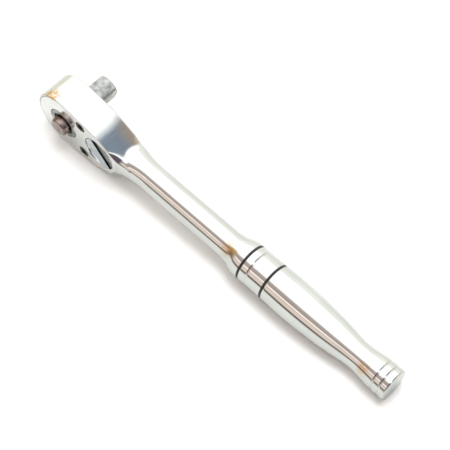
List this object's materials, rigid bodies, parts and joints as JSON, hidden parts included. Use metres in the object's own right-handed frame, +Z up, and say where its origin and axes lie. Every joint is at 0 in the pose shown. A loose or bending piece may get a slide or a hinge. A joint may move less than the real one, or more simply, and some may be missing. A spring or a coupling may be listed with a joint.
{
  "type": "ratchet wrench",
  "caption": "Reversible 3/8 inch square-drive ratchet wrench with a teardrop head, recessed selector dial, quick-release button and smooth flared handle.",
  "frame": {"origin": "centre of the square drive, on the shoulder face where a socket seats", "axes": "+X along the handle towards its end, +Y along the drive axis the way the square drive points, +Z up with the wrench lying on the edge of its head"},
  "size_m": [0.2029, 0.0319, 0.0318],
  "materials": {
    "body_chrome": "polished chrome plate",
    "cover_satin": "satin chrome plate",
    "drive_steel": "bare alloy steel, dull and mottled",
    "black_oxide": "black oxide",
    "band_black": "black inlay",
    "button_chrome": "chrome plate",
    "selector_chrome": "polished chrome plate",
    "spring_steel": "spring steel",
    "ball_steel": "polished bearing steel",
    "pawl_steel": "hardened steel, oiled",
    "seal_rubber": "nitrile rubber"
  },
  "bodies": {
    "root": {"ratchet_body": "body_chrome", "cover_plate": "cover_satin", "cover_seal": "seal_rubber", "cover_screw_upper": "black_oxide", "cover_screw_lower": "black_oxide", "grip_band_front": "band_black", "grip_band_rear": "band_black"},
    "drive": {"drive_gear": "drive_steel", "thrust_washer": "spring_steel", "rear_hub_seal": "seal_rubber", "front_hub_seal": "seal_rubber", "button_retaining_ring": "black_oxide", "button_spring": "spring_steel"},
    "button": {"release_button": "button_chrome", "release_rod": "ball_steel"},
    "ball": {"detent_ball": "ball_steel"},
    "selector": {"selector_lever": "selector_chrome", "selector_seal": "seal_rubber", "pawl_spring": "spring_steel"},
    "selector_ball": {"pawl_ball": "ball_steel"},
    "pawl": {"pawl": "pawl_steel"}
  },
  "joints": [
    {"name": "drive_spin", "type": "hinge", "parent": "root", "child": "drive", "pos_m": [0, 0, 0], "axis": [0, 1, 0], "continuous": true},
    {"name": "button_press", "type": "slide", "parent": "drive", "child": "button", "axis": [0, 1, 0], "range_m": [0, 0.003], "stiffness_N_per_m": 1500, "springref_m": -0.001, "deforming": ["button_spring"]},
    {"name": "ball_retract", "type": "slide", "parent": "drive", "child": "ball", "axis": [0.9659, 0, -0.2588], "range_m": [0, 0.00075]},
    {"name": "selector_turn", "type": "hinge", "parent": "root", "child": "selector", "pos_m": [0.02275, -0.0159, 0], "axis": [0, 1, 0], "range_deg": [0, 80]},
    {"name": "selector_ball_slide", "type": "slide", "parent": "selector", "child": "selector_ball", "axis": [0.766, 0, 0.6428], "range_m": [-0.0005, 0], "stiffness_N_per_m": 800, "springref_m": 0.0005, "deforming": ["pawl_spring"]},
    {"name": "pawl_rock", "type": "hinge", "parent": "root", "child": "pawl", "pos_m": [0.02275, -0.0159, 0], "axis": [0, 1, 0], "range_deg": [0, 4.4]}
  ],
  "couplings": [
    {"joint": "ball_retract", "follows": "button_press", "ratio": 0.25},
    {"joint": "pawl_rock", "follows": "selector_turn", "ratio": 0.055}
  ]
}
